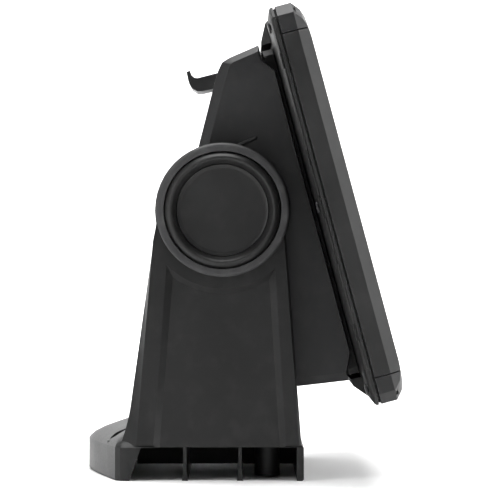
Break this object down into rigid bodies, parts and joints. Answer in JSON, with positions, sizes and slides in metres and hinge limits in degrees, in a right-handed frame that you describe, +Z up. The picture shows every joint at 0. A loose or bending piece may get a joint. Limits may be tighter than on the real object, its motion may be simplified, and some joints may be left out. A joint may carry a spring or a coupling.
{
  "type": "chartplotter display",
  "caption": "Marine chartplotter display held in a quick-release cradle between the arms of a tilting bail bracket with large clamp knobs.",
  "frame": {"origin": "on the ground under the middle of the bounding box", "axes": "+Z up, the screen faces -Y, +X across to the viewer's right when facing the screen"},
  "size_m": [0.28, 0.1564, 0.2317],
  "materials": {
    "bezel_plastic": "fine satin texture",
    "trim_plastic": "satin",
    "rear_plastic": "fine matte texture",
    "cradle_plastic": "fine satin texture",
    "bail_plastic": "fine matte texture",
    "knob_plastic": "satin",
    "grip_rubber": "matte",
    "key_rubber": "matte",
    "seal_rubber": "matte",
    "lens_glass": "polished, black backed",
    "lcd_stack": "satin",
    "aluminium_plate": "rolled",
    "circuit_board": "solder mask",
    "antenna_ceramic": "fired ceramic",
    "black_screw": "black, satin",
    "steel": "machined",
    "brass": "machined",
    "socket_plastic": "satin",
    "cap_rubber": "matte",
    "washer_nylon": "satin"
  },
  "bodies": {
    "bail": {"bail_bracket": "bail_plastic"},
    "cradle": {"cradle_shell": "cradle_plastic", "docking_plate": "cradle_plastic", "docking_plate_screw_1": "steel", "docking_plate_screw_2": "steel", "docking_plate_screw_3": "steel", "docking_plate_screw_4": "steel", "docking_socket": "socket_plastic", "cable_sockets": "socket_plastic", "socket_cap_1": "cap_rubber", "socket_cap_2": "cap_rubber", "socket_cap_3": "cap_rubber", "socket_cap_4": "cap_rubber", "pivot_insert_left": "brass", "pivot_insert_right": "brass", "lever_pin": "steel", "lever_spring": "steel", "friction_washer_left": "washer_nylon", "friction_washer_right": "washer_nylon"},
    "lever": {"release_lever": "cradle_plastic"},
    "display": {"front_bezel": "bezel_plastic", "top_trim_cap": "trim_plastic", "bottom_trim_cap": "trim_plastic", "rear_cover": "rear_plastic", "rear_cover_screw_1": "black_screw", "rear_cover_screw_2": "black_screw", "rear_cover_screw_3": "black_screw", "rear_cover_screw_4": "black_screw", "rear_cover_screw_5": "black_screw", "rear_cover_screw_6": "black_screw", "docking_block": "rear_plastic", "docking_contacts": "socket_plastic", "touch_lens": "lens_glass", "lens_gasket": "seal_rubber", "lcd_panel": "lcd_stack", "heat_spreader": "aluminium_plate", "main_board": "circuit_board", "housing_seal": "seal_rubber", "gps_antenna": "antenna_ceramic", "key_mat": "key_rubber", "key_board": "circuit_board", "card_reader": "socket_plastic"},
    "door": {"card_door": "bezel_plastic"},
    "power_button": {"power_key": "key_rubber"},
    "home_button": {"home_key": "key_rubber"},
    "zoom_in_button": {"zoom_in_key": "key_rubber"},
    "zoom_out_button": {"zoom_out_key": "key_rubber"},
    "mark_button": {"mark_key": "key_rubber"},
    "thrust_left": {"thrust_washer_left": "steel"},
    "knob_left": {"knob_core_left": "knob_plastic", "knob_grip_ring_left": "grip_rubber", "knob_stud_left": "steel", "knob_cover_left": "knob_plastic"},
    "thrust_right": {"thrust_washer_right": "steel"},
    "knob_right": {"knob_core_right": "knob_plastic", "knob_grip_ring_right": "grip_rubber", "knob_stud_right": "steel", "knob_cover_right": "knob_plastic"}
  },
  "joints": [
    {"name": "tilt", "type": "hinge", "parent": "bail", "child": "cradle", "pos_m": [0, 0.00816, 0.1331], "axis": [1, 0, 0], "range_deg": [-30, 15]},
    {"name": "release_lever_press", "type": "hinge", "parent": "cradle", "child": "lever", "pos_m": [0, 0.00073, 0.20169], "axis": [1, 0, 0], "range_deg": [0, 12], "stiffness_Nm_per_rad": 0.4, "springref_deg": -17.19},
    {"name": "display_release", "type": "hinge", "parent": "cradle", "child": "display", "pos_m": [0, -0.05614, 0.04809], "axis": [1, 0, 0], "range_deg": [0, 25]},
    {"name": "card_door_open", "type": "hinge", "parent": "display", "child": "door", "pos_m": [0, -0.07326, 0.06699], "axis": [1, 0, 0], "range_deg": [0, 90]},
    {"name": "power_press", "type": "slide", "parent": "display", "child": "power_button", "axis": [0, 0.9657, -0.2598], "range_m": [0, 0.0008], "stiffness_N_per_m": 1500, "springref_m": -0.0004},
    {"name": "home_press", "type": "slide", "parent": "display", "child": "home_button", "axis": [0, 0.9657, -0.2598], "range_m": [0, 0.0008], "stiffness_N_per_m": 1500, "springref_m": -0.0004},
    {"name": "zoom_in_press", "type": "slide", "parent": "display", "child": "zoom_in_button", "axis": [0, 0.9657, -0.2598], "range_m": [0, 0.0008], "stiffness_N_per_m": 1500, "springref_m": -0.0004},
    {"name": "zoom_out_press", "type": "slide", "parent": "display", "child": "zoom_out_button", "axis": [0, 0.9657, -0.2598], "range_m": [0, 0.0008], "stiffness_N_per_m": 1500, "springref_m": -0.0004},
    {"name": "mark_press", "type": "slide", "parent": "display", "child": "mark_button", "axis": [0, 0.9657, -0.2598], "range_m": [0, 0.0008], "stiffness_N_per_m": 1500, "springref_m": -0.0004},
    {"name": "knob_left_travel", "type": "slide", "parent": "cradle", "child": "thrust_left", "axis": [-1, 0, 0], "range_m": [0, 0.00375]},
    {"name": "knob_left_turn", "type": "hinge", "parent": "thrust_left", "child": "knob_left", "pos_m": [0, 0.00816, 0.1331], "axis": [-1, 0, 0], "range_deg": [0, 1080]},
    {"name": "knob_right_travel", "type": "slide", "parent": "cradle", "child": "thrust_right", "axis": [1, 0, 0], "range_m": [0, 0.00375]},
    {"name": "knob_right_turn", "type": "hinge", "parent": "thrust_right", "child": "knob_right", "pos_m": [0, 0.00816, 0.1331], "axis": [1, 0, 0], "range_deg": [0, 1080]}
  ],
  "couplings": [
    {"joint": "knob_left_travel", "follows": "knob_left_turn", "m_per_rad": 0.00019894},
    {"joint": "knob_right_travel", "follows": "knob_right_turn", "m_per_rad": 0.00019894}
  ]
}
